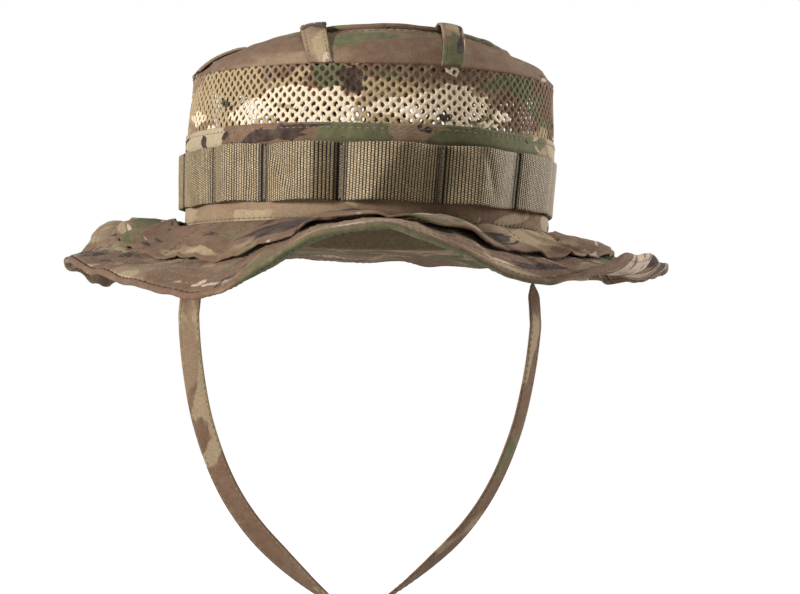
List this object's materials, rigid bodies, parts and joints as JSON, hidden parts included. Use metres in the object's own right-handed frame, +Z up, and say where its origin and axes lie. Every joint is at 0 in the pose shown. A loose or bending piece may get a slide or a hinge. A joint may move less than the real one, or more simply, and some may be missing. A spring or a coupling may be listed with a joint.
{
  "type": "boonie hat",
  "caption": "Camouflage boonie hat: oval crown with mesh vent, webbing foliage band, waved soft brim with sewn loop tape, and a swinging chin strap with sliding keeper.",
  "frame": {"origin": "centre of the head opening, in the plane of the seam between crown and brim", "axes": "+Z up out of the crown, the hat faces -Y, +X is the wearer's left"},
  "size_m": [0.278, 0.3133, 0.3346],
  "materials": {
    "camouflage_cloth": "matt ripstop weave printed in tan, brown and green",
    "brim_camouflage": "matt ripstop weave printed in tan, brown and green",
    "vent_mesh": "open knitted mesh, printed",
    "nylon_webbing": "ribbed nylon webbing, khaki",
    "seam_piping": "matt cloth",
    "lining_cloth": "matt cotton tape",
    "brim_stiffener": "matt felt",
    "strap_cloth": "matt folded cloth tape, printed",
    "keeper_leather": "smooth dark brown leather"
  },
  "bodies": {
    "hat": {"crown_top_panel": "camouflage_cloth", "crown_upper_front": "camouflage_cloth", "crown_upper_rear": "camouflage_cloth", "mesh_vent_front": "vent_mesh", "mesh_vent_rear": "vent_mesh", "crown_lower_front": "camouflage_cloth", "crown_lower_rear": "camouflage_cloth", "foliage_webbing": "nylon_webbing", "top_seam_piping": "seam_piping", "top_seam_tape": "lining_cloth", "sweatband": "lining_cloth", "brim_top_cloth": "brim_camouflage", "brim_interlining": "brim_stiffener", "brim_under_cloth": "brim_camouflage", "brim_loop_tape": "brim_camouflage", "crown_loop_front_left": "camouflage_cloth", "crown_loop_front_right": "camouflage_cloth", "crown_loop_left": "camouflage_cloth", "crown_loop_right": "camouflage_cloth", "crown_loop_rear_left": "camouflage_cloth", "crown_loop_rear_right": "camouflage_cloth", "strap_anchor_left": "strap_cloth", "strap_anchor_right": "strap_cloth"},
    "chin_strap": {"chin_strap": "strap_cloth"},
    "strap_slider": {"strap_slider": "keeper_leather"}
  },
  "joints": [
    {"name": "chin_strap_swing", "type": "hinge", "parent": "hat", "child": "chin_strap", "pos_m": [0, 0, -0.009], "axis": [1, 0, 0], "range_deg": [-55, 55]},
    {"name": "strap_slider_slide", "type": "slide", "parent": "chin_strap", "child": "strap_slider", "axis": [0, 0, 1], "range_m": [-0.012, 0]}
  ]
}
